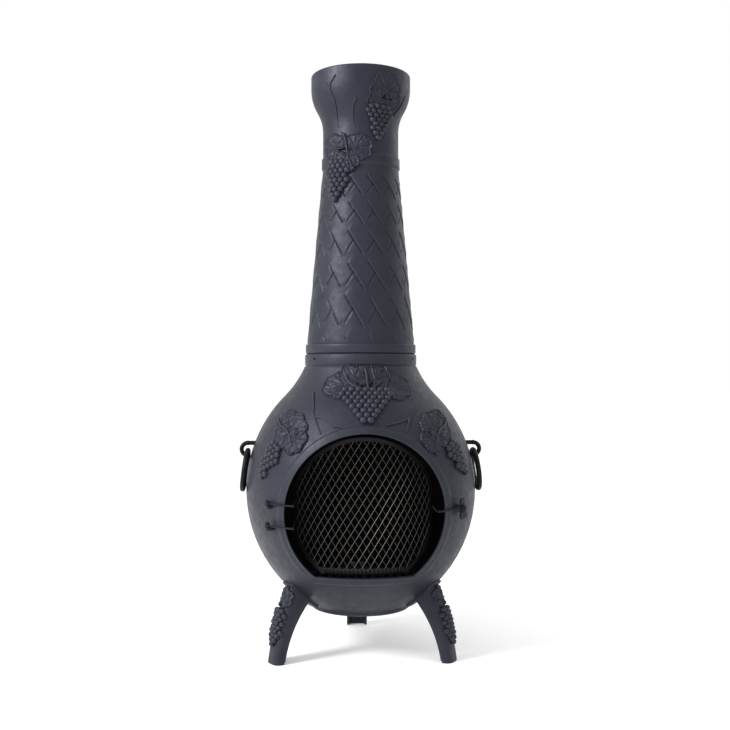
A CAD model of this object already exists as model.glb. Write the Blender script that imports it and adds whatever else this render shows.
import math
import bmesh
import bpy
import numpy as np
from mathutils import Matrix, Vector


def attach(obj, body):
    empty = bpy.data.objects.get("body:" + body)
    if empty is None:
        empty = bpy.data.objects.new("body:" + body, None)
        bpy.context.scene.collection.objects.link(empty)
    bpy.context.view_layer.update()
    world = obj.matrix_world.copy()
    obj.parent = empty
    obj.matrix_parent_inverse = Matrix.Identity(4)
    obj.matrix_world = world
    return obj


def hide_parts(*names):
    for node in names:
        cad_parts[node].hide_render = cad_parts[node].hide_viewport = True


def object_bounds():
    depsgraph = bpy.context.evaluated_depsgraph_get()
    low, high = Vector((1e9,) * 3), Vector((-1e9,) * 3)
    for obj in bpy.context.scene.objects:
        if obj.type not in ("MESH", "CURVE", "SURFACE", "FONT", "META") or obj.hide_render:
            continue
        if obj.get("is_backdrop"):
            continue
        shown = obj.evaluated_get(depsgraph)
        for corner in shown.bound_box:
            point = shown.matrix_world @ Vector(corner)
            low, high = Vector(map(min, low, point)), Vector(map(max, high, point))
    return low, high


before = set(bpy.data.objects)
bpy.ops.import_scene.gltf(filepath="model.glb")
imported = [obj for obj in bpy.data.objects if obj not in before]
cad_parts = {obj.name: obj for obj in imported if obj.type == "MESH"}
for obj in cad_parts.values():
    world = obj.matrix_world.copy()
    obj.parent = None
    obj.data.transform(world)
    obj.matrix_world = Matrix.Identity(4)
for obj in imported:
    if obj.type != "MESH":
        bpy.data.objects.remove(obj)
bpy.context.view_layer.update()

ROOT = "chiminea"
MM = 0.001

# ---------------------------------------------------------------- sizes, in millimetres, as in the CAD
# arcs of the outline are a radius and a centre (r, z); TOUCH is where the bowl's arc meets the neck's
BOWL_R, BOWL_C = 310.0, (-41.7, 378.0)
NECK_R, NECK_C = 220.0, (333.478, 752.354)
TOUCH = 44.94
WALL = 5.0
BASE_R, BASE_Z, BASE_ROUND = 118.0, 101.0, 9.0
MOUTH_R, MOUTH_Z, SILL = 174.0, 345.5, 208.0
FOOT_BAND_TOP = 716.0
TAPER_LOW, TAPER_TOP, TAPER_TOP_Z = 125.8, 89.5, 1120.0
TUBE_R, TUBE_LOW = 88.7, 1130.0
FLARE_R, FLARE_LOW, FLARE_HIGH = 116.5, 1213.0, 1315.0
SPIGOT_R, SPIGOT_IN = 124.9, 118.9
SCREW_Z, SCREW_R, SCREW_REACH = 682.0, 3.2, (118.0, 140.0)


def rad(a):
    return a * math.pi / 180


def polar(r, a, z):
    """Point at azimuth a in degrees; 0 is the front, +X is at 90."""
    a = np.radians(a)
    return np.stack([r * np.sin(a), -r * np.cos(a), z + 0 * a], -1)


def beside(azimuth, r, x, z):
    """Points at radius r in the upright plane at an azimuth, moved x to the right of it."""
    c, s = math.cos(rad(azimuth)), math.sin(rad(azimuth))
    return np.stack(np.broadcast_arrays(r * s + x * c, x * s - r * c, z), -1)


def on_arc(centre, radius, angles):
    """Points (r, z) of an arc at angles in degrees."""
    angles = np.radians(angles)
    return np.stack([centre[0] + radius * np.cos(angles), centre[1] + radius * np.sin(angles)], -1)


def bowl_radius(z, g=0.0):
    """Outer radius of the bowl and neck at height z, moved out by g."""
    touch_z = BOWL_C[1] + (BOWL_R + g) * math.sin(rad(TOUCH))
    z = np.asarray(z, float)
    low = BOWL_C[0] + np.sqrt(np.maximum((BOWL_R + g) ** 2 - (z - BOWL_C[1]) ** 2, 0))
    high = NECK_C[0] - np.sqrt(np.maximum((NECK_R - g) ** 2 - (z - NECK_C[1]) ** 2, 0))
    return np.where(z <= touch_z, low, high)


def stack_radius(z):
    """Outer radius of the stack at height z: a taper, a plain tube, and a flare of two equal arcs."""
    z = np.asarray(z, float)
    dr, dz = (FLARE_R - TUBE_R) / 2, (FLARE_HIGH - FLARE_LOW) / 2
    arc, mid = (dr * dr + dz * dz) / (2 * dr), (FLARE_LOW + FLARE_HIGH) / 2
    share = np.clip((z - FOOT_BAND_TOP) / (TAPER_TOP_Z - FOOT_BAND_TOP), 0, 1)
    low = TUBE_R + arc - np.sqrt(np.maximum(arc ** 2 - (z - FLARE_LOW) ** 2, 0))
    high = FLARE_R - arc + np.sqrt(np.maximum(arc ** 2 - (z - FLARE_HIGH) ** 2, 0))
    r = np.where(z < TUBE_LOW, TAPER_LOW + (TAPER_TOP - TAPER_LOW) * share, TUBE_R)
    r = np.where(z > FLARE_LOW, low, r)
    r = np.where(z > mid, high, r)
    return np.where(z > FLARE_HIGH, FLARE_R, r)


# ---------------------------------------------------------------- mesh building
class Build:
    """Collects vertices and faces of one piece."""

    def __init__(self):
        self.v, self.f, self.n = [], [], 0

    def add(self, verts, faces):
        verts = np.asarray(verts, float).reshape(-1, 3)
        self.v.append(verts)
        self.f.extend([tuple(i + self.n for i in face) for face in faces])
        self.n += len(verts)

    def grid(self, pts, close_u=False, close_v=False, flip=False):
        """pts[v][u] are points; quads between neighbours."""
        pts = np.asarray(pts, float)
        rows, cols = pts.shape[:2]
        faces = []
        for j in range(rows if close_v else rows - 1):
            for i in range(cols if close_u else cols - 1):
                a, b = j * cols + i, j * cols + (i + 1) % cols
                c, d = ((j + 1) % rows) * cols + (i + 1) % cols, ((j + 1) % rows) * cols + i
                faces.append((a, d, c, b) if flip else (a, b, c, d))
        self.add(pts, faces)

    def stick(self, rings):
        """Closed shell through rings of points, with a flat face on the first and the last."""
        base, sides = self.n, len(rings[0])
        self.grid(rings, close_u=True)
        last = base + (len(rings) - 1) * sides
        self.f.append(tuple(base + i for i in range(sides))[::-1])
        self.f.append(tuple(last + i for i in range(sides)))

    def bar(self, rows):
        """Closed bar whose edges are the rows, with a flat face at each end."""
        base, cols = self.n, len(rows[0])
        self.grid(rows, close_v=True)
        self.f.append(tuple(base + k * cols for k in range(len(rows))))
        self.f.append(tuple(base + k * cols + cols - 1 for k in range(len(rows)))[::-1])

    def tube(self, path, radius, sides=8, up=None):
        """Closed round tube along path; radius may be one number or one for each point."""
        path = np.asarray(path, float)
        radius = np.broadcast_to(np.asarray(radius, float), (len(path),))
        tangent = np.gradient(path, axis=0)
        tangent /= np.linalg.norm(tangent, axis=1)[:, None]
        angles = np.arange(sides) * 2 * math.pi / sides
        rings = []
        side = None
        for k, t in enumerate(tangent):
            if up is not None:
                s = np.cross(t, up[k])
            else:
                s = np.cross(t, [0, 0, 1.0]) if side is None else side - t * np.dot(side, t)
                if np.linalg.norm(s) < 1e-6:
                    s = np.cross(t, [0, 1.0, 0])
            side = s / np.linalg.norm(s)
            across = np.outer(np.cos(angles), side) + np.outer(np.sin(angles), np.cross(side, t))
            rings.append(path[k] + radius[k] * across)
        self.stick(rings)

    def ball(self, centre, radii, axes, across=12, up=8):
        """Closed ellipsoid; axes are three unit vectors."""
        centre, axes = np.asarray(centre), np.asarray(axes, float)
        a = np.arange(across) * 2 * math.pi / across
        rows = []
        for j in range(1, up):
            b = math.pi * j / up
            flat = math.sin(b)
            ring = np.stack([np.cos(a) * flat, np.sin(a) * flat, np.full(across, math.cos(b))], 1)
            rows.append(centre + (ring * radii) @ axes)
        base = self.n
        self.grid(rows, close_u=True, flip=True)
        pole = np.array([0, 0, radii[2]]) @ axes
        self.add([centre + pole, centre - pole], [])
        t = self.n - 2
        for i in range(across):
            j = (i + 1) % across
            self.f.append((t, base + i, base + j))
            self.f.append((t + 1, base + (up - 2) * across + j, base + (up - 2) * across + i))

    def object(self, name):
        mesh = bpy.data.meshes.new(name)
        mesh.from_pydata((np.vstack(self.v) * MM).tolist(), [], self.f)
        mesh.validate()
        mesh.update()
        ob = bpy.data.objects.new(name, mesh)
        bpy.context.scene.collection.objects.link(ob)
        outward(mesh)
        return ob

    def piece(self, name, material, slot, body=ROOT, sharp=35, replaces=(), holes=None):
        """Makes the piece's object; edges over sharp degrees stay crisp, and holes is a Build to cut out."""
        ob = self.object(name)
        if holes:
            drill(ob, holes.object("holes"))
        ob.data.shade_smooth()
        ob.data.set_sharp_from_angle(angle=rad(sharp))
        ob.data.materials.append(material)
        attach(ob, body)
        if replaces:
            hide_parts(*replaces)
        return ob

    def casting(self, name, sharp=50, replaces=(), holes=None):
        """Piece of painted cast iron on the chiminea's own body."""
        return self.piece(name, CAST, "cast_paint", sharp=sharp, replaces=replaces, holes=holes)


def outward(mesh):
    """Turns each closed shell's faces outwards."""
    bm = bmesh.new()
    bm.from_mesh(mesh)
    bmesh.ops.recalc_face_normals(bm, faces=bm.faces[:])
    bm.to_mesh(mesh)
    bm.free()


def drill(ob, tool):
    """Cuts the tool's closed shapes out of a piece."""
    cut = ob.modifiers.new("drill", "BOOLEAN")
    cut.operation, cut.solver, cut.object = "DIFFERENCE", "EXACT", tool
    ob.data = bpy.data.meshes.new_from_object(ob.evaluated_get(bpy.context.evaluated_depsgraph_get()))
    ob.modifiers.clear()
    bpy.data.objects.remove(tool)


# ---------------------------------------------------------------- materials
BLACK_TONE, WHITE_TONE = (0, 0, 0), (1, 1, 1)
EDGE_WEAR = 0.35


def material(name, dark, light, rough, metal=0.0, grain=(60, 900), bump=(0.5, 0.12), specular=0.5,
             rust=None, tint=(1, 1, 1)):
    """Procedural finish: two tones with paler edges, broken roughness, and a coarse and a fine bump.

    grain is the scale of the coarse and the fine noise, bump is their height in millimetres, and rust is
    the colour of rust spots."""
    mat = bpy.data.materials.new(name)
    mat.use_nodes = True
    nodes, links = mat.node_tree.nodes, mat.node_tree.links
    shader = nodes["Principled BSDF"]
    shader.inputs["Metallic"].default_value = metal
    shader.inputs["Specular IOR Level"].default_value = specular
    shader.inputs["Specular Tint"].default_value = (*tint, 1)
    where = nodes.new("ShaderNodeTexCoord")

    def noise(scale, detail, roughness, distortion=0.0):
        n = nodes.new("ShaderNodeTexNoise")
        n.inputs["Scale"].default_value = scale
        n.inputs["Detail"].default_value = detail
        n.inputs["Roughness"].default_value = roughness
        n.inputs["Distortion"].default_value = distortion
        links.new(where.outputs["Object"], n.inputs["Vector"])
        return n.outputs["Fac"]

    def ramp(source, *stops):
        """Two stops, each a position and a colour."""
        r = nodes.new("ShaderNodeValToRGB")
        for element, (at, colour) in zip(r.color_ramp.elements, stops):
            element.position, element.color = at, (*colour, 1)
        links.new(source, r.inputs["Fac"])
        return r.outputs["Color"]

    def mix(kind, factor, a, b):
        """Mix of two colours; each value is a number, a colour or the output of a node."""
        m = nodes.new("ShaderNodeMix")
        m.data_type, m.blend_type = "RGBA", kind
        for key, value in (("Factor", factor), ("A", a), ("B", b)):
            if isinstance(value, bpy.types.NodeSocket):
                links.new(value, m.inputs[key])
            else:
                m.inputs[key].default_value = value
        return m.outputs["Result"]

    patches = noise(9, 5, 0.62, 0.4)
    grains = noise(grain[1], 2, 0.5)
    lumps = noise(grain[0], 4, 0.55)
    tone = ramp(patches, (0.32, dark), (0.68, light))
    speckle = ramp(grains, (0.35, (0.82, 0.82, 0.82)), (0.7, (1.12, 1.12, 1.12)))
    colour = mix("MULTIPLY", 1.0, tone, speckle)
    geometry = nodes.new("ShaderNodeNewGeometry")
    worn = nodes.new("ShaderNodeMath")
    worn.operation = "MULTIPLY"
    worn.inputs[1].default_value = EDGE_WEAR
    links.new(ramp(geometry.outputs["Pointiness"], (0.5, BLACK_TONE), (0.6, WHITE_TONE)), worn.inputs[0])
    paler = (*[min(1, 2.1 * c + 0.01) for c in light], 1)
    colour = mix("MIX", worn.outputs["Value"], colour, paler)
    if rust:
        spots = ramp(noise(38, 8, 0.7, 0.6), (0.5, BLACK_TONE), (0.66, WHITE_TONE))
        colour = mix("MIX", spots, colour, (*rust, 1))
    links.new(colour, shader.inputs["Base Color"])
    span = nodes.new("ShaderNodeMapRange")
    span.inputs["From Min"].default_value, span.inputs["From Max"].default_value = 0.3, 0.7
    span.inputs["To Min"].default_value, span.inputs["To Max"].default_value = rough - 0.07, rough + 0.09
    links.new(lumps, span.inputs["Value"])
    links.new(span.outputs["Result"], shader.inputs["Roughness"])
    normal = None
    for source, height in ((lumps, bump[0]), (grains, bump[1])):
        b = nodes.new("ShaderNodeBump")
        b.inputs["Strength"].default_value = 1.0
        b.inputs["Distance"].default_value = height * MM
        links.new(source, b.inputs["Height"])
        if normal:
            links.new(normal, b.inputs["Normal"])
        normal = b.outputs["Normal"]
    links.new(normal, shader.inputs["Normal"])
    return mat


CAST = material("cast_charcoal", (0.0092, 0.0103, 0.0160), (0.0160, 0.0176, 0.0262), 0.47,
                bump=(0.7, 0.18), specular=0.28, tint=(0.84, 0.88, 1.0))
SOOT = material("cast_soot", (0.005, 0.005, 0.005), (0.013, 0.012, 0.011), 0.85,
                grain=(45, 500), bump=(1.0, 0.3), specular=0.15, rust=(0.024, 0.013, 0.009))
BLACK = material("black_enamel", (0.003, 0.003, 0.004), (0.007, 0.007, 0.009), 0.46,
                 grain=(120, 1200), bump=(0.25, 0.08), specular=0.12)
WIRE = material("screen_wire", (0.032, 0.029, 0.026), (0.062, 0.056, 0.050), 0.45,
                metal=0.4, grain=(200, 1500), bump=(0.1, 0.05))
DULL_WIRE = material("screen_wire_dull", (0.012, 0.011, 0.011), (0.022, 0.021, 0.020), 0.6,
                     metal=0.3, grain=(200, 1500), bump=(0.1, 0.05))
STEEL = material("plated_steel", (0.10, 0.10, 0.105), (0.17, 0.17, 0.18), 0.38,
                 metal=0.85, grain=(150, 1400), bump=(0.15, 0.05), rust=(0.10, 0.045, 0.02))
IRON = material("burnt_iron", (0.014, 0.013, 0.012), (0.036, 0.031, 0.029), 0.78,
                grain=(80, 700), bump=(0.8, 0.3), specular=0.3, rust=(0.055, 0.023, 0.012))


# ---------------------------------------------------------------- charts: flat millimetres laid on a casting
class Chart:
    """u runs to the viewer's right and v up on the surface; place() lifts a point h off it."""

    def __init__(self, at):
        self.at = at

    def frame(self, u, v):
        """Unit vectors along u, along v and off the surface."""
        e = 0.5
        du = self.at(u + e, v) - self.at(u - e, v)
        dv = self.at(u, v + e) - self.at(u, v - e)
        du = du / np.linalg.norm(du, axis=-1, keepdims=True)
        n = np.cross(du, dv)
        n = n / np.linalg.norm(n, axis=-1, keepdims=True)
        return du, np.cross(n, du), n

    def place(self, u, v, h):
        u, v = np.asarray(u, float), np.asarray(v, float)
        return self.at(u, v) + self.frame(u, v)[2] * np.asarray(h, float)[..., None]


def round_chart(radius, azimuth, height, low, high):
    """Chart on a body of revolution, centred at an azimuth and a height; above high it goes straight up."""
    z = np.linspace(low, high, 1200)
    r = radius(z)
    s = np.concatenate([[0], np.cumsum(np.hypot(np.diff(r), np.diff(z)))])
    s0 = np.interp(height, z, s)

    def at(u, v):
        along = s0 + np.asarray(v, float)
        zz = np.interp(along, s, z) + np.maximum(along - s[-1], 0)
        rr = np.interp(along, s, r)
        return polar(rr, azimuth + np.degrees(u / rr), zz)
    return Chart(at)


def bowl_chart(azimuth, height):
    return round_chart(bowl_radius, azimuth, height, 120, 664)


def stack_chart(azimuth, height):
    return round_chart(stack_radius, azimuth, height, 700, 1345)


# ---------------------------------------------------------------- vine ornament
# a leaf's half outline and its veins: angle from the tip, and reach as a share of the leaf's size
LEAF_HALF = (
    (0, 1.0), (10, 0.99), (20, 0.94), (28, 0.87), (36, 0.93), (47, 1.00), (58, 0.98), (68, 0.92), (78, 0.86),
    (88, 0.91), (100, 0.96), (112, 0.94), (124, 0.88), (134, 0.82), (146, 0.78), (158, 0.66), (168, 0.42),
    (180, 0.16))
LEAF_VEINS = ((0, 0.96), (47, 0.92), (-47, 0.92), (100, 0.86), (-100, 0.86), (146, 0.6), (-146, 0.6))
# side veins: where each leaves its main vein, and to which side
SIDE_VEINS = ((0.42, 1), (0.56, -1))
SIDE_VEIN_TURN = 42
# heights that shape a leaf's face, and how deep its skirt sinks into the casting
PILLOW_H, MAIN_RIDGE_H, SIDE_RIDGE_H, CRINKLE_H, BEAD_H, DISH_H = 2.6, 2.4, 1.1, 0.30, 1.3, 1.2
SKIRT = -1.8
# leaves that show small are made of fewer faces
SMALL = {"around": 144, "rings": 28}
SMALLEST = {"around": 144, "rings": 26}


def swell(off, height, width):
    """Smooth ridge that is highest where off is 0."""
    return height * np.exp(-(off / width) ** 2)


def off_line(x, y, p, q):
    """Distance of points from the stretch p to q."""
    p, d = np.asarray(p, float), np.asarray(q, float) - np.asarray(p, float)
    w = np.clip(((x - p[0]) * d[0] + (y - p[1]) * d[1]) / np.dot(d, d), 0, 1)
    return np.hypot(x - p[0] - w * d[0], y - p[1] - w * d[1])


def off_veins(x, y, size, narrow):
    """Distances of points from the nearest main vein and from the nearest side vein."""
    main, fine = np.full(x.shape, 1e9), np.full(x.shape, 1e9)
    for angle, length in LEAF_VEINS:
        end = np.array([math.cos(rad(angle)), math.sin(rad(angle)) * narrow]) * length * size
        main = np.minimum(main, off_line(x, y, (0, 0), end))
        for at, side in SIDE_VEINS:
            way = rad(angle + side * SIDE_VEIN_TURN)
            start = end * at
            reach = size * 0.36 * (1.2 - at)
            stop = start + np.array([math.cos(way), math.sin(way) * narrow]) * reach
            fine = np.minimum(fine, off_line(x, y, start, stop))
    return main, fine


def leaf(build, chart, cu, cv, size, turn, high=4.2, lift=0.0, bend=0.0, narrow=1.0, around=216, rings=40):
    """Lobed vine leaf; turn is its tip's direction from +u, and high is how far its main vein stands out."""
    theta = np.linspace(-180, 180, around, endpoint=False)
    half = np.array(LEAF_HALF)
    teeth = 0.97 + 0.035 * np.abs(np.sin(np.radians(theta) * 14))
    reach = np.interp(np.abs(theta), half[:, 0], half[:, 1]) * teeth
    rho = np.linspace(0, 1, rings) ** 0.8
    x = np.outer(rho, reach * np.cos(np.radians(theta))) * size
    y = np.outer(rho, reach * np.sin(np.radians(theta))) * size * narrow
    main, fine = off_veins(x, y, size, narrow)
    pillow = PILLOW_H - swell(np.minimum(main, fine * 1.5), PILLOW_H, 5.5)
    ridge = swell(main, MAIN_RIDGE_H, 1.7) + swell(fine, SIDE_RIDGE_H, 1.2)
    wave = np.sin(x / 3.1 + 0.8 * np.sin(y / 4.1)) * np.sin(y / 3.3 + 0.7 * np.sin(x / 4.7))
    inside = (1 - rho[:, None]) * size
    edge = np.sin(np.clip(inside / 2.6, 0, 1) * math.pi / 2)
    face = high - MAIN_RIDGE_H + pillow + ridge + CRINKLE_H * wave - swell(inside - 6.0, DISH_H, 2.8)
    height = lift + face * edge + swell(inside - 2.2, BEAD_H, 1.4)
    x = x - bend * y * y / size
    c, s = math.cos(rad(turn)), math.sin(rad(turn))
    u, v = cu + c * x - s * y, cv + s * x + c * y
    top = chart.place(u, v, height)
    skirt = chart.place(u[-1:], v[-1:], np.full((1, around), SKIRT))
    base = build.n
    build.grid(np.concatenate([top[1:], skirt]), close_u=True)
    build.add([top[0, 0], chart.place(cu, cv, SKIRT)], [])
    mid, low = build.n - 2, build.n - 1
    last = base + (rings - 1) * around
    for i in range(around):
        j = (i + 1) % around
        build.f.append((mid, base + j, base + i))
        build.f.append((low, last + i, last + j))


def grapes(build, chart, cu, cv, rows, pitch, size, turn=-90.0, lift=0.0, seed=1, step=0.80):
    """Bunch of grapes; rows are the counts from the stem to the tip, turn is the way the tip points."""
    rng = np.random.default_rng(seed)
    c, s = math.cos(rad(turn)), math.sin(rad(turn))
    stray = 0.6
    shift, before = 0.0, rows[0] + 1
    for k, n in enumerate(rows):
        if (n - before) % 2 == 0:
            shift = 0.5 - shift
        before = n
        for i in range(n):
            along = k * pitch * step + rng.uniform(-stray, stray)
            side = (i - (n - 1) / 2 + shift) * pitch + rng.uniform(-stray, stray)
            u, v = cu + c * along - s * side, cv + s * along + c * side
            edge = abs(2 * side / (pitch * max(n, 2)))
            r = size * rng.uniform(0.94, 1.06)
            out = lift + r * (0.50 - 0.25 * edge ** 2)
            build.ball(chart.place(u, v, out), np.array([r, r, r * 0.95]), np.stack(chart.frame(u, v)))


def smooth_path(points):
    """Catmull-Rom curve through points of (u, v), with a point about every 1.6 mm."""
    step = 1.6
    p = np.asarray(points, float)
    p = np.vstack([2 * p[0] - p[1], p, 2 * p[-1] - p[-2]])
    out = []
    for k in range(1, len(p) - 2):
        n = max(2, int(np.linalg.norm(p[k + 1] - p[k]) / step))
        straight = p[k + 1] - p[k - 1]
        bend = 2 * p[k - 1] - 5 * p[k] + 4 * p[k + 1] - p[k + 2]
        twist = 3 * p[k] - p[k - 1] - 3 * p[k + 1] + p[k + 2]
        for t in np.arange(n) / n:
            out.append(0.5 * (2 * p[k] + straight * t + bend * t * t + twist * t ** 3))
    out.append(p[-2])
    return np.array(out)


def vine(build, chart, points, thick, tip, lift=0.0):
    """Round stem along points of (u, v), tapering from a radius of thick to one of tip."""
    path = smooth_path(points)
    r = np.linspace(thick, tip, len(path))
    pts = chart.place(path[:, 0], path[:, 1], lift + r * 0.35)
    build.tube(pts, r, up=chart.frame(path[:, 0], path[:, 1])[2])


# ---------------------------------------------------------------- stack
# STRAPS lines lean each way round the stack; STRAP_STEP is about the millimetres from one line to the next
STRAPS, STRAP_STEP = 14, 38
WEAVE_FROM, WEAVE_LOW, WEAVE_HIGH = 730, 720, 1122
# lines of the weave: offset across, cell parity, middle and half length in a cell, strength
FALLING_LINES = (0.0, 0, 0.5, 0.84, 1.0)
RISING_LINES = (0.70, 1, 0.62, 0.42, 0.8)


def weave(a, z):
    """Relief of wide diagonal straps: each shows one raised edge, then dips under its neighbour."""
    rise = z - WEAVE_FROM
    climb = 0.0102 * rise + 0.9e-5 * rise ** 2
    u, v = STRAPS * a / 360 + climb - 0.3, -STRAPS * a / 360 + climb - 0.45
    h = np.zeros_like(u + v)
    for (offset, odd, middle, half, deep), across, along in ((FALLING_LINES, u, v), (RISING_LINES, v, u)):
        across = across - offset
        line = np.round(across)
        off = (across - line) * STRAP_STEP
        for shift in (-1, 0, 1):
            cell = np.floor(along) + shift
            here = (line + cell) % 2 == odd
            vary = np.sin(3.7 * (line % STRAPS) + 5.3 * cell)
            reach = np.clip((half * (1 + 0.12 * vary) - np.abs(along - cell - middle)) / 0.14, 0, 1)
            reach = reach * reach * (3 - 2 * reach) * here * deep
            ridge = np.where(off > 0, np.exp(-off / 9.0), np.exp(-(off / 0.9) ** 2))
            h = h + reach * (1.2 * ridge - swell(off + 1.8, 2.2, 1.5))
    return h * np.clip((z - WEAVE_LOW) / 8, 0, 1) * np.clip((WEAVE_HIGH - z) / 24, 0, 1)


def wall_points(heights, g=0.0):
    """Points (r, z) on the stack's skin, moved out by g."""
    return [(float(stack_radius(z)) + g, float(z)) for z in heights]


def turned(outline, cols, woven=False):
    """Closed shell of an outline (r, z) turned round the axis; woven puts the relief on its outer skin."""
    a = np.arange(cols) * 360 / cols
    rows = []
    for r, z in outline:
        outer = r > stack_radius(z) - 1
        relief = weave(a, z) if woven and outer else 0.0
        rows.append(polar(np.full(cols, r) + relief, a, np.full(cols, z)))
    b = Build()
    b.grid(rows, close_u=True, close_v=True)
    return b


def stack_lower():
    """Foot band, woven taper and the spigot that drops into the bowl's collar."""
    foot_band = [(124.9, 694.0), (126.4, 694.2), (128.4, 695.4), (129.3, 697.2), (129.3, 712.8),
                 (128.8, 714.8), (127.4, 716.0), (125.6, 716.6), (125.2, 717.4)]
    taper = wall_points(np.linspace(718.5, 1121, 188))
    top = [(89.2, 1124.0), (88.6, 1131.0), (86.4, 1131.0), (84.5, 1122.0)]
    inside = wall_points((1100, 1000, 900, 800, 720), -5.4)
    spigot = [(SPIGOT_IN, 700.0), (SPIGOT_IN, 670.6), (119.6, 670.0), (124.2, 670.0), (SPIGOT_R, 671.0)]
    return turned(foot_band + taper + top + inside + spigot, 450, woven=True)


def stack_upper():
    """Ring band, tube and flared mouth with a rounded lip."""
    outline = [(89.5, 1125.0), (89.9, 1126.0), (91.2, 1127.4), (92.0, 1129.4), (91.9, 1133.0), (91.7, 1144.0),
               (91.9, 1148.6), (91.2, 1150.6), (89.8, 1151.8), (88.9, 1153.0)]
    outline += wall_points(np.linspace(1158, 1316, 46))
    outline += [(116.6, 1326.0), (116.5, 1336.0)]
    outline += list(on_arc((112.5, 1342), 4, np.linspace(0, 90, 7)))
    outline += [(111.5, 1345.8), (111.4, 1330.0)]
    outline += wall_points(np.linspace(1314, 1156, 24), -WALL)
    outline += [(83.7, 1140.0), (84.0, 1125.0)]
    return turned(outline, 240)


# ---------------------------------------------------------------- fire bowl
# the halves meet in a shallow groove, and the wall stops CUT_BACK outside the mouth, under the border
SEAM_GROOVE, CUT_BACK = 0.9, 8
FLANGE_DEEP, FLANGE_GAP, FLANGE_Y = 20.0, 0.15, 6.0


def mouth_curve(g):
    """Closed loop of points (x, z), the mouth's outline moved out by g; the count is the same for every g."""
    r, low = MOUTH_R + g, SILL - g
    start = math.degrees(math.asin((low - MOUTH_Z) / r))
    half = r * math.cos(rad(start))
    sill = [(x, low) for x in np.linspace(-half, half, 44)[1:-1]]
    return np.vstack([on_arc((0, MOUTH_Z), r, np.linspace(start, 180 - start, 150)), sill])


def in_mouth(x, z, g):
    return (x * x + (z - MOUTH_Z) ** 2 < (MOUTH_R + g) ** 2) & (z > SILL - g)


def bowl_profile():
    """Pairs of outer and inner points from the floor's middle to the collar's top."""
    low = 0.6 - math.degrees(math.acos((BASE_R - BOWL_C[0]) / BOWL_R))
    flat = BASE_R - BASE_ROUND
    outer = [(r, BASE_Z) for r in np.linspace(0, flat, 8)]
    outer += list(on_arc((flat, BASE_Z + BASE_ROUND), BASE_ROUND, np.linspace(-78, 0, 6)))
    inner = [(r, BASE_Z + WALL) for r in np.linspace(0, flat - WALL, 8)]
    inner += [(flat, BASE_Z + WALL + 0.5)] * 6
    outer += list(on_arc(BOWL_C, BOWL_R, np.linspace(low, TOUCH, 96)))
    inner += list(on_arc(BOWL_C, BOWL_R - WALL, np.linspace(low, TOUCH, 96)))
    for z in np.linspace(602, 662, 24):
        outer.append((float(bowl_radius(z)), z))
        inner.append((float(bowl_radius(z, -WALL)), z))
    outer += [(130.9, 664.8), (129.6, 666.0), (129.5, 667.2), (130.6, 668.2), (131.0, 670.0), (131.0, 689.6),
              (130.2, 691.6), (128.2, 693.2), (126.4, 693.9)]
    inner += [(126.6, 665.0), (126.2, 666.4), (125.8, 668.0), (125.4, 669.0), (125.4, 671.0), (125.4, 688.0),
              (125.4, 691.0), (125.4, 692.6), (125.6, 693.6)]
    return np.array(outer), np.array(inner)


def bowl_half(front):
    """Half of the bowl as a closed shell; the front half leaves the mouth out."""
    outer, inner = bowl_profile()
    rows, cols = len(outer), 181
    a = np.linspace(-90, 90, cols) + (0 if front else 180)
    edge = np.minimum(np.abs(a - a[0]), np.abs(a - a[-1]))
    skin = np.stack([polar(np.full(cols, r), a, np.full(cols, z)) for r, z in outer])
    lining = np.stack([polar(np.full(cols, r), a, np.full(cols, z)) for r, z in inner])
    skin[..., 0] *= 1 - SEAM_GROOVE * (edge < 0.4) / np.maximum(np.hypot(skin[..., 0], skin[..., 1]), 60)
    gone = np.zeros((rows, cols), bool)
    if front:
        gone = in_mouth(skin[..., 0], skin[..., 2], CUT_BACK) & (skin[..., 1] < -60)
    cut = gone[:-1, :-1] & gone[1:, :-1] & gone[:-1, 1:] & gone[1:, 1:]
    b = Build()
    b.add(skin, [])
    b.add(lining, [])
    shift = rows * cols
    out_faces, in_faces = [], []
    for j in range(rows - 1):
        for i in range(cols - 1):
            q = (j * cols + i, j * cols + i + 1, (j + 1) * cols + i + 1, (j + 1) * cols + i)
            if cut[j, i]:
                around = ((j - 1, i), (j, i + 1), (j + 1, i), (j, i - 1))
                for k, beyond in enumerate(around):
                    if not cut[beyond]:
                        p, r = q[k], q[(k + 1) % 4]
                        in_faces.append((p, r, r + shift, p + shift))
            else:
                out_faces.append(q)
                in_faces.append(tuple(k + shift for k in q[::-1]))
    for i in range(cols - 1):
        top = (rows - 1) * cols + i
        out_faces.append((top, top + 1, top + 1 + shift, top + shift))
    for j in range(rows - 1):
        for i in (0, cols - 1):
            p, r = j * cols + i, (j + 1) * cols + i
            out_faces.append((p, r, r + shift, p + shift))
    b.f = out_faces + in_faces
    return b


def mouth_border():
    """Raised rounded border with a bead at its inner edge; it also lines the cut through the wall."""
    # how far each point is outside the mouth, and how far off the bowl's skin
    section = [(0.0, -5.6), (0.0, 3.2), (0.3, 4.4), (1.0, 5.2), (2.0, 5.5), (3.0, 5.2), (3.7, 4.5),
               (4.6, 4.2), (6.0, 4.3), (10.0, 4.6), (13.6, 4.7), (15.2, 4.4), (16.3, 3.6), (16.9, 2.4),
               (17.1, 0.6), (17.3, -1.5), (17.0, -3.4), (16.6, -5.4), (15.0, -5.8), (6.0, -5.8), (1.2, -5.8)]
    rows = []
    for g, h in section:
        x, z = mouth_curve(g).T
        rows.append(np.stack([x, -np.sqrt(np.maximum(bowl_radius(z, h) ** 2 - x ** 2, 1)), z], 1))
    b = Build()
    b.grid(rows, close_u=True, close_v=True)
    return b


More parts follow.
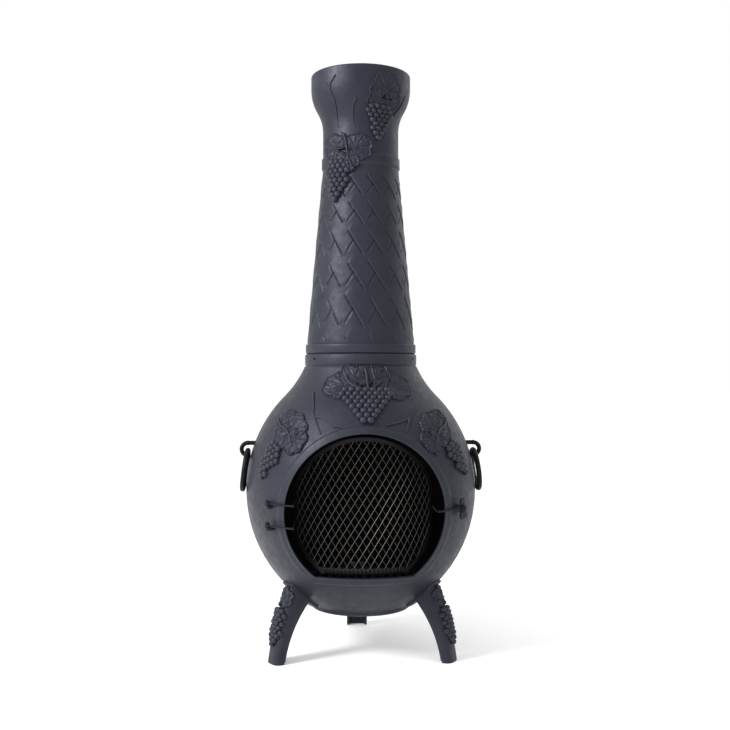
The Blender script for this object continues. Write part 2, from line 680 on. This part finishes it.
def seam_flange(front):
    """Flat inner flange of one half, following the wall at both sides."""
    b = Build()
    y0, y1 = (-FLANGE_Y, -FLANGE_GAP) if front else (FLANGE_GAP, FLANGE_Y)
    root, crest, bevel = BOWL_R - 3, BOWL_R - FLANGE_DEEP, 0.8
    section = ((root, y0), (crest + bevel, y0), (crest, y0 + bevel), (crest, y1 - bevel), (crest + bevel, y1),
               (root, y1))
    for side in (-1, 1):
        rows = []
        for radius, y in section:
            r, z = on_arc(BOWL_C, radius, np.linspace(-54, 43, 60)).T
            rows.append(np.stack([side * r, np.full(len(r), y), z], 1))
        b.bar(rows)
    return b


# ---------------------------------------------------------------- legs
# a leg's outer face and inner edge are arcs, from an angle at the floor to one under the bowl
FACE_R, FACE_LEAN, FACE_TOP, FOOT_R = 690.0, 7.5, 22.9, 239.0
FACE_C = (FOOT_R - FACE_R * math.cos(rad(FACE_LEAN)), -FACE_R * math.sin(rad(FACE_LEAN)))
EDGE_R, EDGE_TOP = 263.4, 47.5
EDGE_C = (FOOT_R - 281.4, -39.9)
LEG_HALF, LEG_WALL, LEG_ROUND = 25.0, 5.0, 3.2
LEG_LENGTH = 186.0
LEG_BEAD = 3.1
PAD_HALF, PAD_FROM, PAD_TO = 21.5, -56.5, -40.5


def leg_lines(t):
    """Face point and inner edge point (r, z) at t, from 0 at the floor to 1 under the bowl."""
    t = np.asarray(t, float)
    low = math.degrees(math.asin(-EDGE_C[1] / EDGE_R))
    face = on_arc(FACE_C, FACE_R, FACE_LEAN + (FACE_TOP - FACE_LEAN) * t)
    return face, on_arc(EDGE_C, EDGE_R, low + (EDGE_TOP - low) * t)


def leg_point(azimuth, across, face, edge, inset):
    """Point on the leg's C-shaped section, inset below its skin.

    across runs from -1 at one cheek's edge, over the face, to 1 at the other's."""
    th = np.radians(np.asarray(across) * 90)
    power = 2 / LEG_ROUND
    x = (LEG_HALF - inset) * np.sign(np.sin(th)) * np.abs(np.sin(th)) ** power
    deep = 1 - np.abs(np.cos(th)) ** power
    way = edge - face
    start = face + way / np.linalg.norm(way, axis=-1, keepdims=True) * inset
    rz = start + (edge - start) * deep[..., None]
    return beside(azimuth, rz[..., 0], x, rz[..., 1])


def from_bowl_centre(pts):
    """Offsets (r, z) and distance of points from the centre of the bowl's arc."""
    dr, dz = np.hypot(pts[..., 0], pts[..., 1]) - BOWL_C[0], pts[..., 2] - BOWL_C[1]
    return dr, dz, np.hypot(dr, dz)


def keep_in_wall(pts, deep):
    """Points inside the bowl are brought back to just under its outer skin."""
    dr, dz, d = from_bowl_centre(pts)
    k = np.where(d < BOWL_R - deep, (BOWL_R - deep) / d, 1.0)
    scale = (BOWL_C[0] + dr * k) / np.hypot(pts[..., 0], pts[..., 1])
    return np.stack([pts[..., 0] * scale, pts[..., 1] * scale, BOWL_C[1] + dz * k], -1)


def leg_pad(b, azimuth):
    """Flat pad that follows the bowl's skin on the leg's top, where the bolts go through."""
    rows, cols = 12, 10
    x = np.linspace(-PAD_HALF, PAD_HALF, cols)
    base = b.n
    for g in (-2.0, 6.0):
        plate = []
        for r, z in on_arc(BOWL_C, BOWL_R + g, np.linspace(PAD_FROM, PAD_TO, rows)):
            plate.append(beside(azimuth, np.sqrt(r * r - x * x), x, z))
        b.grid(plate)
    there = list(range(cols))
    up = [j * cols + cols - 1 for j in range(1, rows)]
    back = [(rows - 1) * cols + i for i in range(cols - 2, -1, -1)]
    down = [j * cols for j in range(rows - 2, 0, -1)]
    rim = there + up + back + down
    for p, q in zip(rim, rim[1:] + rim[:1]):
        b.f.append((base + p, base + q, base + rows * cols + q, base + rows * cols + p))


def leg(azimuth):
    """C-shaped leg with a round bead along each edge and a pad under the bowl."""
    b = Build()
    t = np.linspace(0, 1, 74)
    face, edge = leg_lines(t)
    across = np.linspace(-1, 1, 45)

    def shell(inset, deep):
        lines = [leg_point(azimuth, np.full(len(t), s), face, edge, inset) for s in across]
        return keep_in_wall(np.stack(lines, 1), deep)

    ring = np.concatenate([shell(0.0, 2.2), shell(LEG_WALL, 2.4)[:, ::-1]], 1)
    b.grid(ring, close_u=True)
    n = ring.shape[1]
    last = (len(t) - 1) * n
    for i in range(len(across) - 1):
        b.f.append((i, i + 1, n - 2 - i, n - 1 - i))
        b.f.append((last + i, last + n - 1 - i, last + n - 2 - i, last + i + 1))
    for side in (-1.0, 1.0):
        line = leg_point(azimuth, np.full(len(t), side), face, edge, 2.2)
        line = line[line[:, 2] > 2.7]
        b.tube(line[from_bowl_centre(line)[2] > BOWL_R - 2.0], LEG_BEAD, sides=12)
    leg_pad(b, azimuth)
    return b


def leg_chart(azimuth):
    """Chart on a leg's face; v runs up the leg in millimetres from the floor."""
    def at(u, v):
        face, edge = leg_lines(v / LEG_LENGTH)
        share = np.clip(np.abs(u) / LEG_HALF, 0, 0.985)
        s = np.degrees(np.arcsin(share ** (LEG_ROUND / 2))) / 90 * np.sign(u)
        return leg_point(azimuth, s, face, edge, 0.0)
    return Chart(at)


# ---------------------------------------------------------------- spark screen
SCREEN_R, SCREEN_Z = 195.0, 346.5
SCREEN_OUTLINE_R, SCREEN_HALF, SCREEN_LOW = 163.5, 156.0, 222.0
FRAME_COVER = 4.0
MESH_PITCH, MESH_RISE = 17.2, math.tan(rad(58))
WIRE_R = {1: 0.74, -1: 0.68}
HEM_HALF, HEM_RIB = 88.0, 8.8


def in_screen(x, z, inset):
    r, half = SCREEN_OUTLINE_R - inset, SCREEN_HALF - inset
    return (x * x + (z - SCREEN_Z) ** 2 < r * r) & (np.abs(x) < half) & (z > SCREEN_LOW)


def screen_wires(way):
    """The mesh wires that slant one way, bent with the screen; way is 1 for those rising to the right.

    They end FRAME_COVER inside the outline, under the frame's bar."""
    b = Build()
    for k in range(-24, 25):
        start = (k + (0.0 if way > 0 else 0.5)) * MESH_PITCH
        z = np.arange(218, 512, 3.0)
        s = start + way * (z - SCREEN_Z) / MESH_RISE
        ok = in_screen(SCREEN_R * np.sin(s / SCREEN_R), z, FRAME_COVER) & (np.abs(s) < 200)
        if ok.sum() < 4:
            continue
        z, turn = z[ok], s[ok] / SCREEN_R
        weaving = np.cos(math.pi * 2 * (z - SCREEN_Z) / (MESH_RISE * MESH_PITCH))
        r = SCREEN_R + way * (0.55 + 0.2 * weaving)
        b.tube(np.stack([r * np.sin(turn), -r * np.cos(turn), z], 1), WIRE_R[way], sides=6)
    return b


def screen_hem():
    """Ribbed band along the foot of the screen."""
    half = math.degrees(math.asin(HEM_HALF / SCREEN_R))
    a = np.linspace(-half, half, 321)
    rib = 0.5 + 0.5 * np.cos(2 * math.pi * rad(a) * SCREEN_R / HEM_RIB)
    ends = np.clip((half - np.abs(a)) / 0.8, 0.25, 1)
    section = ((-3.3, 211.2), (1.2, 211.1), (2.4, 212.2), (3.4, 214.5), (3.5, 218.0), (3.4, 221.5),
               (2.4, 223.8), (1.2, 224.9), (-3.3, 224.8))
    rows = []
    for out, z in section:
        push = out - (1.7 * (1 - rib) if out > 1 else 0)
        rows.append(polar(SCREEN_R + np.where(push > 0, push * ends, push), a, np.full(len(a), z)))
    b = Build()
    b.bar(rows)
    return b


# ---------------------------------------------------------------- lugs, boss and screw holes of the castings
HINGE_TURN, HINGE_R = -50.0, 276.0
LUG_HEIGHTS, LUG_R, PIN_R = ((354.5, 360.7), (306.5, 312.7)), 5.5, 2.5
LATCH_TURN, LATCH_Z, BOSS_REACH, BOSS_R = 50.2, 352.5, (258.0, 278.2), 8.0


def round_stick(b, azimuth, height, reach, radius, fillet):
    """Closed cylinder that points away from the axis, rounded at its outer end."""
    inner, outer = reach
    turns = np.radians(np.arange(40) * 9.0)
    rounds = on_arc((radius - fillet, outer - fillet), fillet, np.array((0, 30, 60, 90)))
    rings = []
    for wide, along in [(0.02, inner), (radius, inner)] + list(rounds) + [(0.02, outer)]:
        rings.append(beside(azimuth, along, wide * np.cos(turns), height + wide * np.sin(turns)))
    b.stick(rings)


def hinge_lug(b, low, high):
    """Lug with a bore for the pin: round at its outer end and running straight back into the wall."""
    turns = np.radians(np.arange(64) * 360 / 64)
    c, s = np.cos(turns), np.sin(turns)
    thin = 0.02
    deep = HINGE_R - float(bowl_radius(low)) + 4.0
    straight = np.minimum(LUG_R / np.maximum(np.abs(s), thin), deep / np.maximum(c, thin))
    reach = np.where(c > thin, straight, LUG_R)
    rows = []
    bevel = 0.9
    section = ((0.0, low), (0.82, low), (1.0, low + bevel), (1.0, high - bevel), (0.82, high), (0.0, high))
    for share, z in section:
        out = PIN_R + (reach - PIN_R) * share
        rows.append(beside(HINGE_TURN, HINGE_R - out * c, out * s, z))
    b.grid(rows, close_u=True, close_v=True)


def screw_tools(turns):
    """Cylinders that drill the collar's screw holes at some azimuths."""
    b = Build()
    for turn in turns:
        round_stick(b, turn, SCREW_Z, SCREW_REACH, SCREW_R, 0.1)
    return b


# ---------------------------------------------------------------- soot
def two_tone(ob, is_soot):
    """Gives the faces that is_soot picks (from face centres in metres) the sooty finish."""
    ob.data.materials.append(SOOT)
    n = len(ob.data.polygons)
    mid, normal = np.zeros(n * 3, np.float32), np.zeros(n * 3, np.float32)
    ob.data.polygons.foreach_get("center", mid)
    ob.data.polygons.foreach_get("normal", normal)
    sooty = is_soot(mid.reshape(-1, 3), normal.reshape(-1, 3))
    ob.data.polygons.foreach_set("material_index", sooty.astype(np.int32))
    ob.data.update()


def flue_side(mid, normal):
    """True for faces of a hollow body that look at the flue's axis."""
    away = mid[:, 0] * normal[:, 0] + mid[:, 1] * normal[:, 1]
    return away < -0.15 * np.hypot(mid[:, 0], mid[:, 1])


def bowl_inside(mid, normal):
    """True for faces inside the bowl, its floor included."""
    collar_low, collar_mid_r = 660, 127.5
    floor_low, floor_high = 103, 112
    r, z = np.hypot(mid[:, 0], mid[:, 1]) / MM, mid[:, 2] / MM
    under_skin = r < bowl_radius(z, -2.0)
    floor_or_above = (z > floor_low) & ((z > floor_high) | (normal[:, 2] > 0.5))
    return np.where(z > collar_low, r < collar_mid_r, under_skin & floor_or_above)


# ---------------------------------------------------------------- castings
FACINGS = (("front", 0), ("rear", 180))
LEGS = (("left", -60, "leg_front_left"), ("right", 60, "leg_front_right"), ("rear", 180, "leg_rear"))

two_tone(stack_lower().casting("stack_lower", replaces=("chimney_stack",)), flue_side)
two_tone(stack_upper().casting("stack_upper", replaces=("chimney_stack",)), flue_side)
two_tone(bowl_half(True).casting("bowl_front", 40, ("body_front",), screw_tools((-56, 64))), bowl_inside)
two_tone(bowl_half(False).casting("bowl_rear", 40, ("body_rear",), screw_tools((184,))), bowl_inside)
mouth_border().casting("mouth_border", 60, ("body_front",))
seam_flange(True).piece("flange_front", SOOT, "cast_paint", replaces=("body_front",))
seam_flange(False).piece("flange_rear", SOOT, "cast_paint", replaces=("body_rear",))

lugs = Build()
for low, high in LUG_HEIGHTS:
    hinge_lug(lugs, low, high)
lugs.casting("hinge_lugs", 40, ("body_front",))

boss = Build()
round_stick(boss, LATCH_TURN, LATCH_Z, BOSS_REACH, BOSS_R, 1.4)
boss.casting("latch_boss", 40, ("body_front",))


# ---------------------------------------------------------------- legs and their vines
def leg_vine(turn, tip):
    """Leaf over a long bunch; tip is the leaf's direction."""
    b = Build()
    chart = leg_chart(turn)
    leaf(b, chart, 0, 146, 31, tip, high=3.6, lift=0.6, narrow=0.76, **SMALLEST)
    grapes(b, chart, 0, 119, (3, 4, 3, 4, 3, 4, 3, 2, 1), 11.6, 6.5, lift=1.0, seed=turn + 400)
    return b


for word, turn, node in LEGS:
    leg(turn).casting("leg_casting_" + word, replaces=(node,))
    leg_vine(turn, 96 if word == "right" else 84).casting("leg_vine_" + word)


# ---------------------------------------------------------------- vines on the bowl
BOWL_SIDES = ((-44, -1), (43, 1), (-136, 1), (137, -1))
# azimuth and height along each stem between the leaves
BOWL_STEMS = (
    ((-41, 605), (-37, 590), (-34, 575), (-31, 556), (-23, 548), (-17, 528)),
    ((-31, 556), (-29, 545), (-24, 517)),
    ((-17, 534), (-12, 530), (-8, 520)),
    ((12, 536), (22, 544), (26, 550), (30, 560), (36, 572)),
    ((26, 550), (25, 539), (22, 521)),
)
# heights on the bowl, and how far along its skin from STEM_Z each is laid, within 4 mm of the true length
STEM_Z = 560
STEM_HEIGHTS, STEM_UP = (500, 560, 597, 640, 664), (-68.0, 0.0, 53.0, 104.0, 131.0)


def bowl_top_vine(turn):
    """Two wide leaves and two upright ones with their stems, over the mouth."""
    b = Build()
    chart = bowl_chart(turn, 622)
    leaf(b, chart, -46, 0, 56, 204, narrow=0.70, bend=0.16)
    leaf(b, chart, 58, 0, 64, -22, narrow=0.62, bend=-0.16)
    leaf(b, chart, -20, 14, 44, 120, high=5.0, lift=0.8, narrow=0.80)
    leaf(b, chart, 24, 14, 44, 60, high=5.0, lift=0.8, narrow=0.80)
    vine(b, chart, ((-4, 44), (3, 38), (6, 22), (7, 2), (10, -17)), 3.0, 2.2, lift=6.6)
    garland = ((-40, 24), (-34, 8), (-22, -6), (-6, -14), (10, -18), (24, -8), (38, 8))
    vine(b, chart, garland, 2.4, 1.9, lift=6.4)
    return b


def bowl_top_grapes(turn):
    b = Build()
    bunch = (7, 8, 7, 6, 5, 4, 3, 2)
    grapes(b, bowl_chart(turn, 606), 4, 5, bunch, 15.2, 8.2, lift=0.4, seed=11 + turn, step=0.78)
    return b


def bowl_side_vine(turn, side, seed):
    """Three leaves and a bunch on the bowl's flank; side is 1 where the top leaf leans right, -1 left."""
    b = Build()
    chart = bowl_chart(turn, 518)
    leaf(b, chart, 0, 4, 52, 90 - side * 34, narrow=0.95, bend=-0.1 * side)
    leaf(b, chart, side * 24, 26, 36, 90 - side * 20, high=4.0, narrow=0.9, **SMALL)
    leaf(b, chart, side * -24, -14, 38, -90 + side * 12, high=4.8, lift=0.6, narrow=0.9, **SMALL)
    stem = ((50, 28), (30, 14), (8, 6), (-8, -10), (-22, -30))
    vine(b, chart, [(side * u, v) for u, v in stem], 2.4, 1.8, lift=4.4)
    bunch = (3, 4, 4, 3, 3, 2, 2, 1)
    below = bowl_chart(turn + side * 5, 488)
    grapes(b, below, side * 6, 0, bunch, 13.4, 7.3, turn=-90 + side * 30, lift=0.4, seed=seed)
    return b


def bowl_stems():
    b = Build()
    for _, turn in FACINGS:
        chart = bowl_chart(turn, STEM_Z)
        for stem in BOWL_STEMS:
            path = [(rad(a) * float(bowl_radius(z)), np.interp(z, STEM_HEIGHTS, STEM_UP)) for a, z in stem]
            vine(b, chart, path, 2.7, 1.4)
    return b


for word, turn in FACINGS:
    bowl_top_vine(turn).casting("bowl_vine_top_" + word)
    bowl_top_grapes(turn).casting("bowl_grapes_top_" + word)
for k, (turn, side) in enumerate(BOWL_SIDES):
    bowl_side_vine(turn, side, 31 + k).casting("bowl_vine_side_" + str(k + 1))
bowl_stems().casting("bowl_vine_stems")


# ---------------------------------------------------------------- vines on the stack
STACK_STEM_Z = 1270
STACK_STEMS = (
    ((-32, 1326), (-40, 1300), (-37, 1268), (-39, 1236), (-38, 1208)),
    ((-47, 1310), (-40, 1297)),
    ((-8, 1272), (-12, 1258), (-14, 1230), (-11, 1206)),
    ((14, 1200), (20, 1216), (25, 1240)),
    ((52, 1240), (60, 1262), (62, 1290)),
)


def stack_high_vine(turn):
    """Three leaves and a bunch on the flare."""
    b = Build()
    chart = stack_chart(turn + 30, 1290)
    leaf(b, chart, -3, -2, 46, 70, narrow=0.95, bend=0.1)
    leaf(b, chart, -18, -20, 30, 200, high=4.8, lift=0.6, **SMALLEST)
    leaf(b, chart, 16, -20, 28, -20, high=4.8, lift=0.6, **SMALLEST)
    bunch = (4, 5, 5, 4, 3, 3, 2, 1)
    grapes(b, stack_chart(turn + 23, 1256), 0, 0, bunch, 12.8, 7.0, lift=0.4, seed=51 + turn)
    return b


def stack_low_vine(turn):
    """Three leaves and their stem across the ring band."""
    b = Build()
    chart = stack_chart(turn - 25, 1152)
    leaf(b, chart, -24, 12, 39, 152, high=4.6, lift=2.4, narrow=0.9, bend=0.1)
    leaf(b, chart, 22, 8, 40, 20, high=4.6, lift=2.4, narrow=0.9, bend=-0.1)
    leaf(b, chart, 4, -14, 34, -76, high=4.8, lift=2.6, narrow=0.9, **SMALL)
    vine(b, chart, ((-8, 46), (0, 34), (4, 14), (8, -14), (16, -34)), 2.6, 1.8, lift=7.0)
    return b


def stack_low_grapes(turn):
    b = Build()
    bunch = (3, 4, 5, 4, 4, 3, 3, 2, 1)
    grapes(b, stack_chart(turn - 39, 1132), 0, 0, bunch, 13.6, 7.5, lift=0.8, seed=71 + turn)
    return b


def stack_stems():
    b = Build()
    for _, turn in FACINGS:
        chart = stack_chart(turn, STACK_STEM_Z)
        for stem in STACK_STEMS:
            path = [(rad(a) * float(stack_radius(z)), z - STACK_STEM_Z) for a, z in stem]
            vine(b, chart, path, 2.3, 1.1)
    return b


for word, turn in FACINGS:
    stack_high_vine(turn).casting("stack_vine_high_" + word)
    stack_low_vine(turn).casting("stack_vine_low_" + word)
    stack_low_grapes(turn).casting("stack_grapes_low_" + word)
stack_stems().casting("stack_vine_stems")

# ---------------------------------------------------------------- screen, and the CAD's own nodes
for name, way, finish in (("screen_wires_rising", 1, WIRE), ("screen_wires_falling", -1, DULL_WIRE)):
    screen_wires(way).piece(name, finish, "mesh_wire", body="screen", replaces=("screen_mesh",))
screen_hem().piece("screen_hem_band", BLACK, "black_steel", body="screen", replaces=("screen_hem",))

FINISHES = (
    (BLACK, ("hook_left", "hook_right", "ring_handle_left", "ring_handle_right", "screen_frame",
             "screen_hinge_arms", "screen_latch_arm", "hinge_pins", "latch_lever", "latch_screw",
             "latch_washer", "collar_screws")),
    (STEEL, ("seam_bolts", "seam_nuts", "leg_bolts", "leg_nuts", "hook_nuts")),
    (IRON, ("fire_grate",)),
)
for finish, names in FINISHES:
    for name in names:
        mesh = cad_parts[name].data
        mesh.materials.clear()
        mesh.materials.append(finish)

# ---------------------------------------------------------------- floor, light and camera, in metres
FLOOR_HALF = 30
FLOOR_GREY, FLOOR_GLOW = 0.88, 0.20
CAMERA_AWAY, CAMERA_TURN, CAMERA_HEIGHT = 2.36, -2.6, 0.651
CAMERA_LENS, CAMERA_SHIFT = 49.3, (0.0059, 0.0100)


def link(name, data):
    ob = bpy.data.objects.new(name, data)
    bpy.context.scene.collection.objects.link(ob)
    return ob


def pale_floor():
    """Wide pale floor with a slight glow."""
    mat = bpy.data.materials.new("pale_floor")
    mat.use_nodes = True
    shader = mat.node_tree.nodes["Principled BSDF"]
    shader.inputs["Base Color"].default_value = (FLOOR_GREY, FLOOR_GREY, FLOOR_GREY, 1)
    shader.inputs["Roughness"].default_value = 0.9
    shader.inputs["Emission Color"].default_value = (1, 1, 1, 1)
    shader.inputs["Emission Strength"].default_value = FLOOR_GLOW
    mesh = bpy.data.meshes.new("floor")
    corners = ((-1, -1), (1, -1), (1, 1), (-1, 1))
    mesh.from_pydata([(FLOOR_HALF * x, FLOOR_HALF * y, 0) for x, y in corners], [], [(0, 1, 2, 3)])
    mesh.materials.append(mat)
    return link("floor", mesh)


def area(name, place, aim, size, power):
    """Round white lamp at a place, pointed at aim."""
    light = bpy.data.lights.new(name, "AREA")
    light.shape, light.size, light.energy = "DISK", size, power
    ob = link(name, light)
    ob.location = place
    ob.rotation_euler = (Vector(aim) - Vector(place)).to_track_quat("-Z", "Y").to_euler()


pale_floor()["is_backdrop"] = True
area("key", (-2.4, -1.4, 2.2), (0, 0, 0.7), 1.2, 125)
area("rim", (2.2, 1.6, 1.8), (0, 0, 0.8), 1.0, 4)

world = bpy.data.worlds.new("studio")
bpy.context.scene.world = world
world.use_nodes = True
sky = world.node_tree.nodes["Background"]
sky.inputs["Color"].default_value = (1, 1, 1, 1)
sky.inputs["Strength"].default_value = 1.0

camera = bpy.data.cameras.new("camera")
view = link("camera", camera)
turn = rad(CAMERA_TURN)
view.location = (CAMERA_AWAY * math.sin(turn), -CAMERA_AWAY * math.cos(turn), CAMERA_HEIGHT)
view.rotation_euler = (math.pi / 2, 0, turn)
camera.sensor_width, camera.lens = 36, CAMERA_LENS
camera.shift_x, camera.shift_y = CAMERA_SHIFT
bpy.context.scene.camera = view
bpy.context.scene.view_settings.view_transform = "Standard"

low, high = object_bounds()
